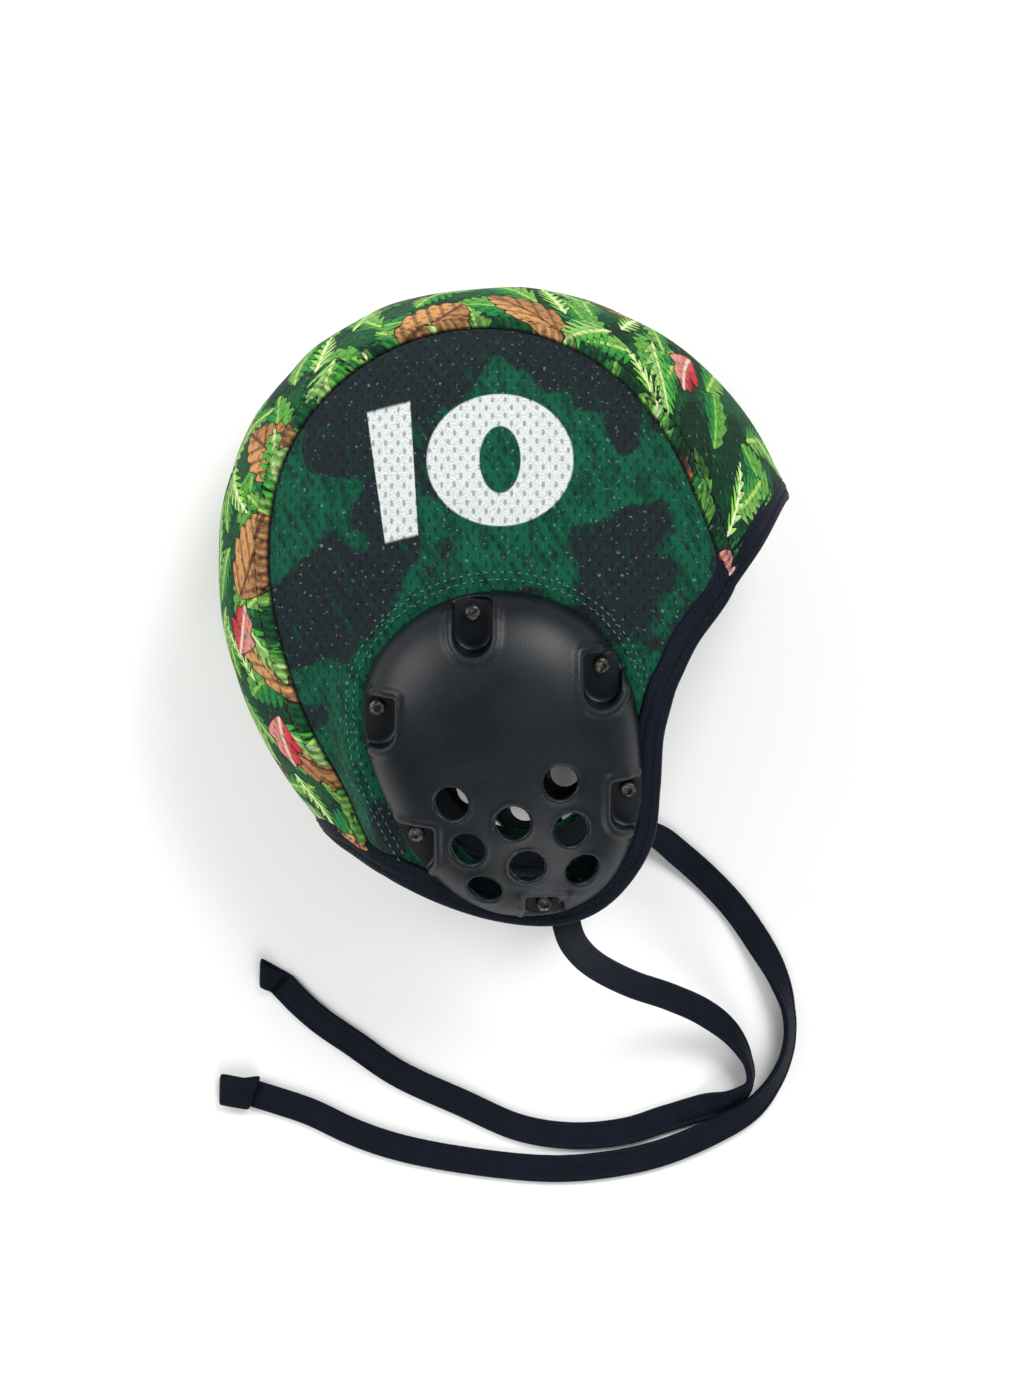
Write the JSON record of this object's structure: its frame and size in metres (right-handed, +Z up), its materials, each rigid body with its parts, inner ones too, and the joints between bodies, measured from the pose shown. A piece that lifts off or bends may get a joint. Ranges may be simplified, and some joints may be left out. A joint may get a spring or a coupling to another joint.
{
  "type": "water polo cap",
  "caption": "Water polo cap of printed mesh cloth with moulded ear guards, a bound rim and chin ties, lying on its left side.",
  "frame": {"origin": "on the surface that the cap lies on, under the middle of the cap without its ties", "axes": "+X towards the face, +Y towards the crown, +Z up from the surface, out of the wearer's right side"},
  "size_m": [0.2213, 0.3312, 0.1443],
  "materials": {
    "side_cloth": "printed perforated mesh, matt",
    "centre_cloth": "printed perforated mesh, matt",
    "tape": "woven tape with a slight sheen",
    "guard_plastic": "moulded, satin",
    "screw_steel": "dull, worn black oxide"
  },
  "bodies": {
    "root": {"centre_panel": "centre_cloth", "side_panel_right": "side_cloth", "side_panel_left": "side_cloth", "rim_binding": "tape", "ear_guard_right": "guard_plastic", "ear_guard_left": "guard_plastic", "clamp_ring_right": "guard_plastic", "clamp_ring_left": "guard_plastic", "guard_screw_right_1": "screw_steel", "guard_screw_right_2": "screw_steel", "guard_screw_right_3": "screw_steel", "guard_screw_right_4": "screw_steel", "guard_screw_right_5": "screw_steel", "guard_screw_right_6": "screw_steel", "guard_screw_left_1": "screw_steel", "guard_screw_left_2": "screw_steel", "guard_screw_left_3": "screw_steel", "guard_screw_left_4": "screw_steel", "guard_screw_left_5": "screw_steel", "guard_screw_left_6": "screw_steel", "tie_right": "tape", "tie_left": "tape"}
  },
  "joints": []
}
